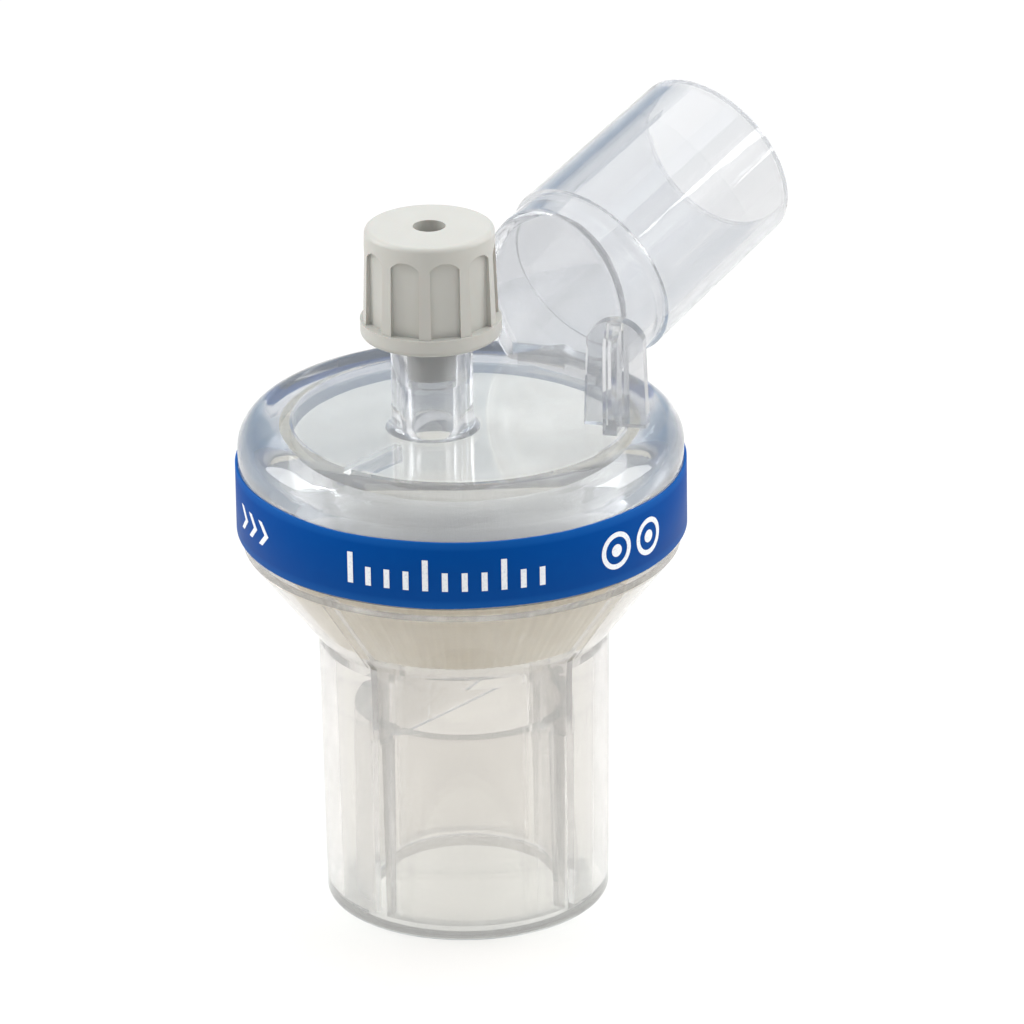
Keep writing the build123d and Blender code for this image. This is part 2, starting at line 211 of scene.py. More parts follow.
def node(tree, kind, inputs=None, **settings):
    """Adds a node, sets its properties, and fills inputs with values or links to other sockets."""
    n = tree.nodes.new(kind)
    for key, value in settings.items():
        setattr(n, key, value)
    for key, value in (inputs or {}).items():
        socket = n.inputs[key]
        if isinstance(value, bpy.types.NodeSocket):
            tree.links.new(value, socket)
        else:
            socket.default_value = value
    return n


def set_stops(ramp, *stops):
    """Fills a colour ramp with (position, colour) pairs in rising order. A new ramp has two stops."""
    elements = ramp.color_ramp.elements
    for i, (position, colour) in enumerate(stops):
        stop = elements[i] if i < 2 else elements.new(position)
        stop.position = position
        stop.color = colour


def new_material(name):
    """An empty node material, its tree and its output node."""
    material = bpy.data.materials.new(name)
    material.use_nodes = True
    material.node_tree.nodes.clear()
    return material, material.node_tree, material.node_tree.nodes.new("ShaderNodeOutputMaterial")


def finish_material(material, tree, out, shader):
    """Links the last shader to the output and hands the material back."""
    tree.links.new(shader, out.inputs["Surface"])
    print("material", material.name, len(tree.nodes), "nodes")
    return material


# %% [markdown]
# ## Clear polystyrene
# The two shells are moulded in clear polystyrene. A wall of it takes up very little light, but medical
# grades look faintly milky where several walls lie behind each other, and the upper shell is a little
# greyer than the lower one. One Principled shader says all that: its transmission is a little under 1,
# what is left over is a pale diffuse haze, and an alpha a little under 1 lets a share pass unbent, as
# through the thin flat parts of a wall. The steel of the mould is polished, and the cooling plastic
# leaves a slow waviness, which a large and very weak bump gives.
#
# Two things help a path tracer. Lamps can't shine through a refracting wall without much noise, so
# shadow rays meet a transparent shader instead. And light that is trapped in a wall, as in a fibre,
# needs several bounces to come out again. Eight are enough to keep the edges from turning black, and
# more of them only cost time.

# %% Clear polystyrene
STYRENE_IOR = 1.5            # a little under the real 1.58, so that the edges bend less and stay lighter
WAVE_SIZE = 6.0              # mm, the slow waviness of the cooled wall
WAVE_HEIGHT = 0.2            # mm
BOUNCES = 8                  # for clear walls
MIRROR_BOUNCES = 6
SOFT_BOUNCES = 2


def clear_styrene(name, tint, haze, openness, roughness):
    """haze is the share that scatters, and openness the share that passes straight through."""
    material, tree, out = new_material(name)
    place = node(tree, "ShaderNodeTexCoord")
    waves = node(tree, "ShaderNodeTexNoise", {"Vector": place.outputs["Object"],
                 "Scale": 1 / (WAVE_SIZE * MM), "Detail": 0.0})
    slow = node(tree, "ShaderNodeBump", {"Height": waves.outputs["Fac"], "Strength": 0.08,
                "Distance": WAVE_HEIGHT * MM})
    plastic = node(tree, "ShaderNodeBsdfPrincipled", {"Base Color": linear(tint), "IOR": STYRENE_IOR,
                   "Roughness": roughness, "Transmission Weight": 1 - haze, "Alpha": 1 - openness,
                   "Normal": slow.outputs["Normal"]})
    lamps_pass = node(tree, "ShaderNodeBsdfTransparent", {"Color": linear("#F8FAFB")})
    path = node(tree, "ShaderNodeLightPath")
    mix = node(tree, "ShaderNodeMixShader", {0: path.outputs["Is Shadow Ray"],
               1: plastic.outputs["BSDF"], 2: lamps_pass.outputs["BSDF"]})
    return finish_material(material, tree, out, mix.outputs["Shader"])


def dress(node_name, material):
    """Gives a piece of the frame its finish, in place of the plain one it came with."""
    piece = frame["nodes"][node_name]
    piece.data.materials.clear()
    piece.data.materials.append(material)


dress("upper_housing", clear_styrene("polished_clear_polystyrene", "#E2E3E5", haze=0.08,
                                     openness=0.08, roughness=0.02))
dress("lower_housing", clear_styrene("hazy_clear_polystyrene", "#F6F4F1", haze=0.075,
                                     openness=0.12, roughness=0.02))
cycles = bpy.context.scene.cycles
cycles.max_bounces = BOUNCES
cycles.transmission_bounces = BOUNCES
cycles.glossy_bounces = MIRROR_BOUNCES
cycles.diffuse_bounces = SOFT_BOUNCES
cycles.transparent_max_bounces = BOUNCES

# %% [markdown]
# ## The grey cap
# The cap is low-density polyethylene, moulded in a warm light grey. It is a soft waxy plastic with a
# satin skin: the highlight is broad and never sharp. A little light goes into it before it comes back,
# which subsurface scattering gives, and a fine spark-eroded grain in the mould breaks the highlight.

# %% Satin grey polyethylene
GRAIN_SIZE = 0.22            # mm, drawn about twice as coarse as the real grain so that it shows
CLOUD_SIZE = 3.0             # mm, the drift of the colour


def satin_grey_polyethylene():
    material, tree, out = new_material("satin_grey_polyethylene")
    place = node(tree, "ShaderNodeTexCoord")
    grain = node(tree, "ShaderNodeTexNoise", {"Vector": place.outputs["Object"],
                 "Scale": 1 / (GRAIN_SIZE * MM), "Detail": 3.0})
    bump = node(tree, "ShaderNodeBump", {"Height": grain.outputs["Fac"], "Strength": 0.18,
                "Distance": 0.02 * MM})
    cloud = node(tree, "ShaderNodeTexNoise", {"Vector": place.outputs["Object"],
                 "Scale": 1 / (CLOUD_SIZE * MM), "Detail": 2.0})
    shade = node(tree, "ShaderNodeValToRGB", {"Fac": cloud.outputs["Fac"]})
    set_stops(shade, (0.0, linear("#B5B4AD")), (1.0, linear("#BDBCB6")))
    gloss = node(tree, "ShaderNodeMapRange", {"Value": grain.outputs["Fac"], "To Min": 0.38,
                 "To Max": 0.52})
    plastic = node(tree, "ShaderNodeBsdfPrincipled", {"Base Color": shade.outputs["Color"],
                   "Roughness": gloss.outputs["Result"], "IOR": 1.5, "Subsurface Weight": 0.08,
                   "Subsurface Scale": 0.6 * MM, "Normal": bump.outputs["Normal"]})
    return finish_material(material, tree, out, plastic.outputs["BSDF"])


dress("port_cap", satin_grey_polyethylene())

# %% [markdown]
# ## Surfaces from grids
# Each new piece is a grid of points. Rows follow a profile and columns go round the axis, so a turned
# form is worked out as whole arrays: the profile's radius and height, times the cosine and sine of the
# column's angle. The helper joins the last column to the first and merges the points that fall
# together on the axis. Every face points outwards when the profile runs from the bottom, out and up,
# to the top.

# %% Grid helpers
MERGE_DISTANCE = 0.0005      # mm
SLICE = 0.05                 # mm, how near to a height a point of the frame has to lie to count there


def grid_quads(index):
    """A face between each pair of neighbouring rows and columns of a grid of vertex numbers."""
    quads = np.stack([index[:-1, :-1], index[:-1, 1:], index[1:, 1:], index[1:, :-1]], axis=-1)
    return quads.reshape(-1, 4).tolist()


def join_grid(name, points):
    """A mesh that closes round the axis. points is rows x columns x 3, in millimetres."""
    rows, columns = points.shape[:2]
    index = np.arange(rows * columns).reshape(rows, columns)
    index = np.concatenate([index, index[:, :1]], axis=1)
    mesh = bpy.data.meshes.new(name)
    mesh.from_pydata((points.reshape(-1, 3) * MM).tolist(), [], grid_quads(index))
    bm = bmesh.new()
    bm.from_mesh(mesh)
    bmesh.ops.remove_doubles(bm, verts=bm.verts, dist=MERGE_DISTANCE * MM)
    bm.to_mesh(mesh)
    bm.free()
    mesh.shade_smooth()
    return mesh


def turned(profile, angles):
    """A turned grid: (r cos a, r sin a, z) for each profile point (r, z) and each angle a."""
    r, z = profile[:, 0:1], profile[:, 1:2]
    return np.stack([r * np.cos(angles), r * np.sin(angles), z + 0 * angles], axis=-1)


def add_piece(name, mesh, material, slot, replaced=None):
    """Links a piece at the origin, gives it its finish and rides it on the filter."""
    mesh.materials.append(material)
    piece = bpy.data.objects.new(name, mesh)
    bpy.context.collection.objects.link(piece)
    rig.ride(piece, "filter")
    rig.slot(piece, slot)
    if replaced:
        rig.replaces(piece, replaced)
    print(name, len(mesh.polygons), "faces")
    return piece


def sizes(name):
    """The lowest and highest corner of a piece of the frame, in millimetres."""
    low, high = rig.box(name)
    return np.array(low) / MM, np.array(high) / MM


def radius_at(name, z):
    """The largest radius that a piece of the frame has within one slice of the height z."""
    mesh = frame["nodes"][name].data
    points = np.empty(len(mesh.vertices) * 3)
    mesh.vertices.foreach_get("co", points)
    points = points.reshape(-1, 3) / MM
    near = np.abs(points[:, 2] - z) < SLICE
    return float(np.hypot(points[near, 0], points[near, 1]).max())


# %% [markdown]
# ## The paper roll
# The heat and moisture exchanger is a strip of treated paper with a corrugated strip glued to it,
# wound tight into a roll and pressed into the cone. Its lower end is open: hundreds of small channels
# run up through it. It could be made as one long swept strip, but only its skin and its lower end can
# be seen, so it is one grid. The outside follows the cone with shallow flutes. The lower end is a
# height map: paper where the winding or the wave between two windings passes, and a pit elsewhere.

# %% Paper roll
core_low, core_high = sizes("exchanger_core")
CORE_SHOULDER_Z = 29.9       # mm, where the cone ends and the straight wall starts
CORE_INSET = 0.5             # mm, the cone aims at a point this far in from the shoulder and below it
FLUTES = 96
FLUTE_DEPTH = 0.07
TURN_PITCH = 1.3             # mm from one winding to the next
WAVE_LENGTH = 1.7            # mm from one crest of the wave to the next
PAPER_WIDTH = 0.16           # mm, twice the real paper so that it shows
CHANNEL_DEPTH = 0.9
CHANNEL_SLOPE = 0.18         # mm from the paper's edge to the bottom of a channel
LOW_CORNER = 0.15            # mm, how far the eased lower corner reaches up and in
LOW_CORNER_IN = 0.1          # mm, how far the lowest row of the side comes in
TOP_CORNER = 0.3             # mm, the height and depth of the eased upper corner
CONE_MARGIN = 0.6            # mm, from either end of the cone to its first row
COLUMNS = 720
END_ROWS = 84
SIDE_ROWS = 12

core_r = core_high[0]
core_foot_r = radius_at("exchanger_core", core_low[2])
angles = np.linspace(0, 2 * np.pi, COLUMNS, endpoint=False)[None, :]


def smooth_step(x):
    """0 below 0, 1 above 1 and 3x^2 - 2x^3 between."""
    x = np.clip(x, 0, 1)
    return x * x * (3 - 2 * x)


def roll_end(r, a):
    """How deep the lower end is at radius r and angle a. The winding is a spiral, so it passes where
    r / pitch - a / 2 pi is a whole number. The wave swings between two windings with the length of
    arc r a. The depth grows with the distance to the nearer of the two."""
    phase = r / TURN_PITCH - a / (2 * np.pi)
    f = phase - np.floor(phase)
    middle = (np.floor(phase) + 0.5) * TURN_PITCH
    wave = 0.5 + 0.4 * np.sin(2 * np.pi * middle * a / WAVE_LENGTH)
    to_winding = np.minimum(f, 1 - f) * TURN_PITCH
    to_wave = np.abs(f - wave) * TURN_PITCH
    distance = np.minimum(to_winding, to_wave)
    return CHANNEL_DEPTH * smooth_step((distance - PAPER_WIDTH / 2) / CHANNEL_SLOPE)


def paper_roll():
    """The lower end with its channels, then the fluted side, r + depth cos(flutes a), then the top."""
    end_r = np.linspace(0, core_foot_r - LOW_CORNER, END_ROWS)
    end = turned(np.stack([end_r, 0 * end_r + core_low[2]], axis=1), angles)
    end[:, :, 2] += roll_end(end_r[:, None], angles)
    cone_z = np.linspace(core_low[2] + CONE_MARGIN, CORE_SHOULDER_Z - CONE_MARGIN, SIDE_ROWS)
    side_z = np.concatenate([[core_low[2], core_low[2] + LOW_CORNER], cone_z,
                             [CORE_SHOULDER_Z, core_high[2] - TOP_CORNER, core_high[2]]])
    slope = (core_r - CORE_INSET - core_foot_r) / (CORE_SHOULDER_Z - CORE_INSET - core_low[2])
    side_r = np.minimum(core_foot_r + slope * (side_z - core_low[2]), core_r) - FLUTE_DEPTH
    side_r[0] -= LOW_CORNER_IN
    side_r[-1] -= TOP_CORNER
    side = turned(np.stack([side_r, side_z], axis=1), angles)
    flute = 1 + FLUTE_DEPTH * np.cos(FLUTES * angles) / side_r[:, None]
    side[:, :, :2] *= flute[:, :, None]
    top = turned(np.array([[core_r / 2, core_high[2]], [0, core_high[2]]]), angles)
    return join_grid("paper_roll", np.concatenate([end, side, top]))


# %% [markdown]
# ## What the paper is finished with
# The paper is cellulose soaked with a hygroscopic salt, which turns it cream and dulls it. It has no
# gloss at all. Its colour drifts a little over several millimetres where the salt dried unevenly, and
# short fibres lie in it, which a fine distorted noise gives.

# %% Treated paper
FIBRE_SIZE = 0.12            # mm
DRIFT_SIZE = 5.0             # mm


def treated_paper():
    material, tree, out = new_material("treated_crepe_paper")
    place = node(tree, "ShaderNodeTexCoord")
    drift = node(tree, "ShaderNodeTexNoise", {"Vector": place.outputs["Object"],
                 "Scale": 1 / (DRIFT_SIZE * MM), "Detail": 3.0})
    fibres = node(tree, "ShaderNodeTexNoise", {"Vector": place.outputs["Object"],
                  "Scale": 1 / (FIBRE_SIZE * MM), "Detail": 4.0, "Distortion": 1.5})
    both = node(tree, "ShaderNodeMath", {0: drift.outputs["Fac"], 1: fibres.outputs["Fac"]},
                operation="ADD")
    half = node(tree, "ShaderNodeMath", {0: both.outputs[0], 1: 0.5}, operation="MULTIPLY")
    shade = node(tree, "ShaderNodeValToRGB", {"Fac": half.outputs[0]})
    set_stops(shade, (0.3, linear("#DDCFB0")), (0.7, linear("#F7EEDA")))
    bump = node(tree, "ShaderNodeBump", {"Height": fibres.outputs["Fac"], "Strength": 0.5,
                "Distance": 0.05 * MM})
    paper = node(tree, "ShaderNodeBsdfPrincipled", {"Base Color": shade.outputs["Color"],
                 "Roughness": 0.95, "Specular IOR Level": 0.2, "Normal": bump.outputs["Normal"]})
    return finish_material(material, tree, out, paper.outputs["BSDF"])


add_piece("wound_paper_roll", paper_roll(), treated_paper(), "treated_paper", "exchanger_core")

# %% [markdown]
# ## The fleece over the roll
# The bacterial filter is a disc of electret fleece, fine polypropylene fibres pressed into a soft white
# mat. It is cut from a sheet, so its faces are nearly flat, with a slight quilting where the fibres lie
# thicker, and its cut edge is rounded over. It is a grid like the roll. The heights of its upper face
# come from a few crossed waves whose lengths don't fit each other, which never repeat.

# %% Fleece disc
pad_low, pad_high = sizes("filter_pad")
PAD_EDGE = 0.5               # mm, how far the cut edge is rounded over
PAD_LOWER_EDGE = 0.3         # mm, how far its lower edge is eased
PAD_QUILT = 0.07             # mm, depth of the quilting
QUILT_FADE = 2.0             # mm, from the rounded edge to where the quilting has its full depth
FIRST_RING = 0.3             # mm, from the rounded edge to the first ring of points on the top
PAD_RINGS = 40


def quilt(x, y):
    """Height of the upper face: the mean of three waves, 3 to 7 mm long. The first is crossed."""
    return (np.sin(x * 0.93 + 0.4) * np.sin(y * 1.17) + np.sin(x * 1.71 - y * 0.61)
            + np.sin(x * 0.57 + y * 2.03 + 1.1)) / 3


def fleece_disc():
    """A flat lower face with an eased edge, an upright side, a quarter round and the quilted top."""
    low, high = pad_low[2], pad_high[2]
    r_max = pad_high[0]
    turn = np.linspace(0, np.pi / 2, 6)
    over = np.stack([r_max - PAD_EDGE * (1 - np.cos(turn)),
                     high - PAD_EDGE * (1 - np.sin(turn))], axis=1)
    top_r = np.linspace(r_max - PAD_EDGE - FIRST_RING, 0, PAD_RINGS)
    foot = [[0, low], [r_max - PAD_LOWER_EDGE, low], [r_max, low + PAD_LOWER_EDGE]]
    profile = np.concatenate([foot, over, np.stack([top_r, 0 * top_r + high], axis=1)])
    points = turned(profile, angles[:, ::2])
    top = points[-len(top_r):]
    fade = smooth_step((r_max - PAD_EDGE - top_r[:, None]) / QUILT_FADE)
    top[:, :, 2] += PAD_QUILT * fade * (quilt(top[:, :, 0], top[:, :, 1]) - 1)
    return join_grid("fleece_disc", points)


# %% [markdown]
# ## What the fleece is finished with
# Fibre mats scatter light and have no highlight. Sheen gives the pale fuzz that stands out where the
# surface turns away, and two noises, one stretched by distortion into threads, give the fibres.

# %% Electret fleece
THREAD_SIZE = 0.3            # mm, drawn coarser than the real fibres so that they show
MAT_SIZE = 2.5               # mm, the thicker and thinner places


def electret_fleece():
    material, tree, out = new_material("white_electret_fleece")
    place = node(tree, "ShaderNodeTexCoord")
    threads = node(tree, "ShaderNodeTexNoise", {"Vector": place.outputs["Object"],
                   "Scale": 1 / (THREAD_SIZE * MM), "Detail": 5.0, "Distortion": 3.0})
    mat = node(tree, "ShaderNodeTexNoise", {"Vector": place.outputs["Object"],
               "Scale": 1 / (MAT_SIZE * MM), "Detail": 2.0})
    both = node(tree, "ShaderNodeMath", {0: threads.outputs["Fac"], 1: mat.outputs["Fac"]},
                operation="ADD")
    half = node(tree, "ShaderNodeMath", {0: both.outputs[0], 1: 0.5}, operation="MULTIPLY")
    shade = node(tree, "ShaderNodeValToRGB", {"Fac": half.outputs[0]})
    set_stops(shade, (0.3, linear("#E9E3D6")), (0.7, linear("#F3EFE4")))
    bump = node(tree, "ShaderNodeBump", {"Height": threads.outputs["Fac"], "Strength": 0.5,
                "Distance": 0.08 * MM})
    fleece = node(tree, "ShaderNodeBsdfPrincipled", {"Base Color": shade.outputs["Color"],
                  "Roughness": 1.0, "Specular IOR Level": 0.1, "Sheen Weight": 0.2,
                  "Normal": bump.outputs["Normal"]})
    return finish_material(material, tree, out, fleece.outputs["BSDF"])


add_piece("fleece_disc", fleece_disc(), electret_fleece(), "white_fleece", "filter_pad")

# %% [markdown]
# ## The film band
# A band of printed film is stuck round the skirt and hides the seam. On the real one its edges wander
# by less than a tenth of a millimetre, its ends overlap at the back, and it lifts a little here and
# there. That is what tells film from paint, so the band is a closed grid whose section is a rectangle
# with its outer corners eased. Its radius gets a slow ripple and a step at the overlap.

# %% Film band
band_low, band_high = sizes("label_band")
FILM_THICKNESS = 0.2
FILM_CORNER = 0.05           # mm
EDGE_WANDER = 0.07           # mm, up and down
RIPPLE = 0.025               # mm, in and out
SEAM_ANGLE = 35.0            # degrees, on the side away from the camera
SEAM_WIDTH = 7.0             # degrees
SEAM_STEP = 0.04             # mm, how far the overlap stands out
FILM_COLUMNS = 540


def wander(a, phase):
    """A slow wave that closes on itself: sines of 3, 7 and 11 times the angle."""
    return (np.sin(3 * a + phase) + 0.6 * np.sin(7 * a + 2.1 * phase) + 0.4 * np.sin(11 * a + phase)) / 2


def film_band():
    """A closed section carried round the axis. Its height moves by the wander of either edge, and its
    radius by the ripple and the step at the seam."""
    a = np.linspace(0, 2 * np.pi, FILM_COLUMNS, endpoint=False)[None, :]
    inner, outer = band_high[0] - FILM_THICKNESS, band_high[0]
    low, high = band_low[2] + EDGE_WANDER, band_high[2] - EDGE_WANDER
    soft = FILM_CORNER
    section = np.array([[inner, low], [outer - soft, low], [outer, low + soft],
                        [outer, (low + high) / 2], [outer, high - soft], [outer - soft, high],
                        [inner, high]])
    r, z = section[:, 0:1] + 0 * a, section[:, 1:2] + 0 * a
    upper = (z - low) / (high - low)
    z = z + EDGE_WANDER * (upper * wander(a, 0.3) + (1 - upper) * wander(a, 1.9))
    skin = r > inner
    seam = np.abs(np.degrees(np.angle(np.exp(1j * (a - np.radians(SEAM_ANGLE)))))) < SEAM_WIDTH / 2
    r = r - skin * (RIPPLE * (1 + wander(a, 4.0)) / 2) + skin * seam * SEAM_STEP
    points = np.stack([r * np.cos(a), r * np.sin(a), z], axis=-1)
    return join_grid("film_band", np.concatenate([points, points[:1]]))


# %% [markdown]
# ## What the film is finished with
# The film is polyester with a deep blue ink under a satin varnish. A blue this deep is easily washed
# out by the white room that it mirrors, so its specular level is low. Over the last three quarters of
# a millimetre towards each edge the ink gets thinner and lighter, which a ramp on the height gives, and
# the ink has a faint mottle.

# %% Printed film
MOTTLE_SIZE = 1.2            # mm


def printed_film():
    material, tree, out = new_material("blue_printed_polyester_film")
    place = node(tree, "ShaderNodeTexCoord")
    part = node(tree, "ShaderNodeSeparateXYZ", {"Vector": place.outputs["Object"]})
    mottle = node(tree, "ShaderNodeTexNoise", {"Vector": place.outputs["Object"],
                  "Scale": 1 / (MOTTLE_SIZE * MM), "Detail": 4.0})
    height = node(tree, "ShaderNodeMapRange", {"Value": part.outputs["Z"],
                  "From Min": band_low[2] * MM, "From Max": band_high[2] * MM})
    edges = node(tree, "ShaderNodeValToRGB", {"Fac": height.outputs["Result"]})
    thin, thinner, full = linear("#0E4D96"), linear("#17579F"), linear("#00418A")
    set_stops(edges, (0.0, thinner), (0.09, thin), (0.14, full), (0.86, full), (0.91, thin),
              (1.0, thinner))
    share = node(tree, "ShaderNodeMapRange", {"Value": mottle.outputs["Fac"], "To Max": 0.5})
    ink = node(tree, "ShaderNodeMix", {0: share.outputs["Result"], 6: edges.outputs["Color"],
               7: linear("#004993")}, data_type="RGBA")
    bump = node(tree, "ShaderNodeBump", {"Height": mottle.outputs["Fac"], "Strength": 0.1,
                "Distance": 0.05 * MM})
    film = node(tree, "ShaderNodeBsdfPrincipled", {"Base Color": ink.outputs[2],
                "Roughness": 0.45, "IOR": 1.5, "Specular IOR Level": 0.04,
                "Normal": bump.outputs["Normal"]})
    return finish_material(material, tree, out, film.outputs["BSDF"])


add_piece("film_band", film_band(), printed_film(), "blue_label_film", "label_band")

# %% [markdown]
# ## White marks on the band
# The band of a filter like this carries white print. Here it is a plain set of marks of about the same
# size and weight: chevrons, a scale of strokes, and two rings with dots. They could be painted by a
# texture, but ink that stands on the film as its own thin surface keeps a crisp edge at any zoom. Each
# mark is a small grid in the flat, with x along the band and y up it, which is then bent round the
# axis: the angle is x over the radius. Solidify gives it the thickness of a coat of ink.

# %% Printed marks
INK_HEIGHT = 0.02            # mm above the film
INK_THICKNESS = 0.03
CHEVRONS_X = (-22.6, -20.8, -19.0)     # mm along the band from the side that faces the camera
CHEVRON = (0.95, 0.55)       # mm, size and width
SCALE_X, SCALE_PITCH, STROKES = -9.0, 1.5, 11
STROKE_WIDTH = 0.45
STROKE_FOOT, SHORT_TOP, LONG_TOP = -1.25, 0.25, 1.25   # mm from the middle of the band
RINGS_X = (12.9, 16.6)
RING, DOT = (1.5, 0.4), (0.5, 0.48)    # mm, radius and width
INK_SPECK = 0.15             # mm
FACING_ANGLE = CAMERA_AZIMUTH - 90.0   # degrees from +X to the side of the band that faces the camera
band_middle = (band_low[2] + band_high[2]) / 2


def stroke(x0, x1, y0, y1):
    """An upright bar from x0 to x1 and y0 to y1."""
    x, y = np.meshgrid(np.linspace(x0, x1, 9), np.linspace(y0, y1, 3))
    return np.stack([x, y], axis=-1)


def ring(middle, radius, width):
    """A flat ring round x = middle: circles from radius - width to radius."""
    a, r = np.meshgrid(np.linspace(0, 2 * np.pi, 49), [radius, radius - width / 2, radius - width])
    return np.stack([middle + r * np.cos(a), r * np.sin(a)], axis=-1)


def chevron(x, size, width):
    """Two leaning bars that meet in a point at x + size."""
    rise = np.linspace(-1, 1, 11)
    tip = x + size * (1 - np.abs(rise))
    return np.stack([np.stack([tip, size * rise], axis=-1),
                     np.stack([tip + width, size * rise], axis=-1)])


def bend_round(flat):
    """Flat x, y to the band: x / radius is the angle from the side that faces the camera."""
    radius = band_high[0] + INK_HEIGHT
    a = flat[..., 0] / radius + math.radians(FACING_ANGLE)
    return np.stack([radius * np.cos(a), radius * np.sin(a), band_middle + flat[..., 1]], axis=-1)


def printed_marks():
    """All the marks in one mesh. Every fourth stroke of the scale is a long one."""
    marks = [chevron(x, *CHEVRON) for x in CHEVRONS_X]
    for i in range(STROKES):
        x = SCALE_X + SCALE_PITCH * i
        marks.append(stroke(x, x + STROKE_WIDTH, STROKE_FOOT, SHORT_TOP if i % 4 else LONG_TOP))
    for x in RINGS_X:
        marks += [ring(x, *RING), ring(x, *DOT)]
    mesh = bpy.data.meshes.new("printed_marks")
    vertices, faces = [], []
    for mark in marks:
        rows, columns = mark.shape[:2]
        faces += grid_quads(np.arange(rows * columns).reshape(rows, columns) + len(vertices))
        vertices += (bend_round(mark).reshape(-1, 3) * MM).tolist()
    mesh.from_pydata(vertices, [], faces)
    bm = bmesh.new()
    bm.from_mesh(mesh)
    bmesh.ops.remove_doubles(bm, verts=bm.verts, dist=MERGE_DISTANCE * MM)
    bm.normal_update()
    inward = [f for f in bm.faces if f.normal.dot(Vector((*f.calc_center_median().xy, 0))) < 0]
    bmesh.ops.reverse_faces(bm, faces=inward)
    bm.to_mesh(mesh)
    bm.free()
    return mesh


def white_ink():
    """Opaque screen ink: matt, a little off white, and thinner in specks."""
    material, tree, out = new_material("white_screen_ink")
    place = node(tree, "ShaderNodeTexCoord")
    specks = node(tree, "ShaderNodeTexNoise", {"Vector": place.outputs["Object"],
                  "Scale": 1 / (INK_SPECK * MM), "Detail": 3.0})
    shade = node(tree, "ShaderNodeValToRGB", {"Fac": specks.outputs["Fac"]})
    set_stops(shade, (0.25, linear("#C9D2DF")), (0.5, linear("#E9EBEE")))
    ink = node(tree, "ShaderNodeBsdfPrincipled", {"Base Color": shade.outputs["Color"],
               "Roughness": 0.55})
    return finish_material(material, tree, out, ink.outputs["BSDF"])


marks = add_piece("printed_marks", printed_marks(), white_ink(), "blue_label_film")
thick = marks.modifiers.new("ink", "SOLIDIFY")
thick.thickness = INK_THICKNESS * MM
thick.offset = -1

# %% [markdown]
# ## Floor
# The floor is a disc of white paper. Lit by the lamps it is pale and keeps the filter's shadow. A share
# of white light of its own, for what the camera, a mirror or a clear wall sees, takes the background up
# to white, and no more light falls on the filter for it. Next to the filter that share is small, so the
# floor there is darker: a painted shadow round the filter's foot and where the floor shows through the
# lower socket, laid over the real shadow. Towards the rim the share grows to the whole, so that the
# paper runs out into the white background with no edge.

# %% Floor
FLOOR_R = 0.5                # metres
FLOOR_SIDES = 96
# The low shares next to the filter darken the floor there: a painted shadow over the real one.
GLOW_SHARES_WITH_PAINTED_SHADE = ((0.01, 0.12), (0.02, 0.42), (0.06, 0.7), (0.16, 0.82), (0.42, 1.0))   # metres out, share


def background_share(tree):
    """1 for camera, mirror and transmission rays, 0 for the light that falls on things."""
    path = node(tree, "ShaderNodeLightPath")
    two = node(tree, "ShaderNodeMath", {0: path.outputs["Is Camera Ray"],
               1: path.outputs["Is Glossy Ray"]}, operation="MAXIMUM")
    three = node(tree, "ShaderNodeMath", {0: two.outputs[0], 1: path.outputs["Is Transmission Ray"]},
                 operation="MAXIMUM")
    return three.outputs[0]


def white_paper():
    material, tree, out = new_material("white_background_paper")
    paper = node(tree, "ShaderNodeBsdfDiffuse", {"Color": linear("#DFDDD9")})
    white = node(tree, "ShaderNodeEmission", {"Color": (1, 1, 1, 1), "Strength": 1.0})
    place = node(tree, "ShaderNodeTexCoord")
    far = node(tree, "ShaderNodeVectorMath", {0: place.outputs["Object"]}, operation="LENGTH")
    out_by = node(tree, "ShaderNodeMapRange", {"Value": far.outputs["Value"], "From Max": FLOOR_R})
    # Less white light near the filter gives a painted shadow on the floor, added to the real shadow.
    fade = node(tree, "ShaderNodeValToRGB", {"Fac": out_by.outputs["Result"]})
    set_stops(fade, *((distance / FLOOR_R, (level, level, level, 1)) for distance, level in GLOW_SHARES_WITH_PAINTED_SHADE))
    share = node(tree, "ShaderNodeMath", {0: fade.outputs["Color"], 1: background_share(tree)},
                 operation="MULTIPLY")
    mix = node(tree, "ShaderNodeMixShader", {0: share.outputs[0], 1: paper.outputs[0],
               2: white.outputs[0]})
    return finish_material(material, tree, out, mix.outputs[0])


rim = np.linspace(0, 2 * np.pi, FLOOR_SIDES, endpoint=False)
floor_mesh = bpy.data.meshes.new("floor")
floor_mesh.from_pydata([(FLOOR_R * math.cos(a), FLOOR_R * math.sin(a), 0) for a in rim], [],
                       [list(range(len(rim)))])
floor_mesh.materials.append(white_paper())
floor = bpy.data.objects.new("floor", floor_mesh)
bpy.context.collection.objects.link(floor)
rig.stage(floor)

# %% [markdown]
# ## The room
# A clear thing shows the room more than itself. In an all-white room its edges vanish. In the
# photograph they are blue-grey, because they mirror and bend a dimmer part of the room. So what
# mirrors and clear walls see is white near the horizon and grey overhead, with a blue-grey zone
# beyond the object above the white table, and the camera itself sees plain white. The light that
# falls on things is a soft dome. Its strength is side + (top - side) z^2 where a ray of length 1 rises
# by z. That makes the top of the cap its lightest side and leaves no glare on the clear plastic.

# %% World
DOME_SIDE, DOME_TOP = 0.41, 1.8
TURN_TO_FAR = 0.7            # the cosine of the angle from straight behind where the far side is reached
NEAR_SIDE = ((-0.15, "#B5B8BC"), (-0.02, "#EDEFF1"), (0.45, "#F4F6F8"), (0.7, "#D2D7DB"),
             (0.9, "#BCC1C5"))
FAR_SIDE = ((-0.15, "#B5B8BC"), (-0.02, "#E8EBEE"), (0.1, "#A3B6C8"), (0.3, "#587C9F"),
            (0.6, "#9AAAB9"), (0.9, "#B4BABF"))

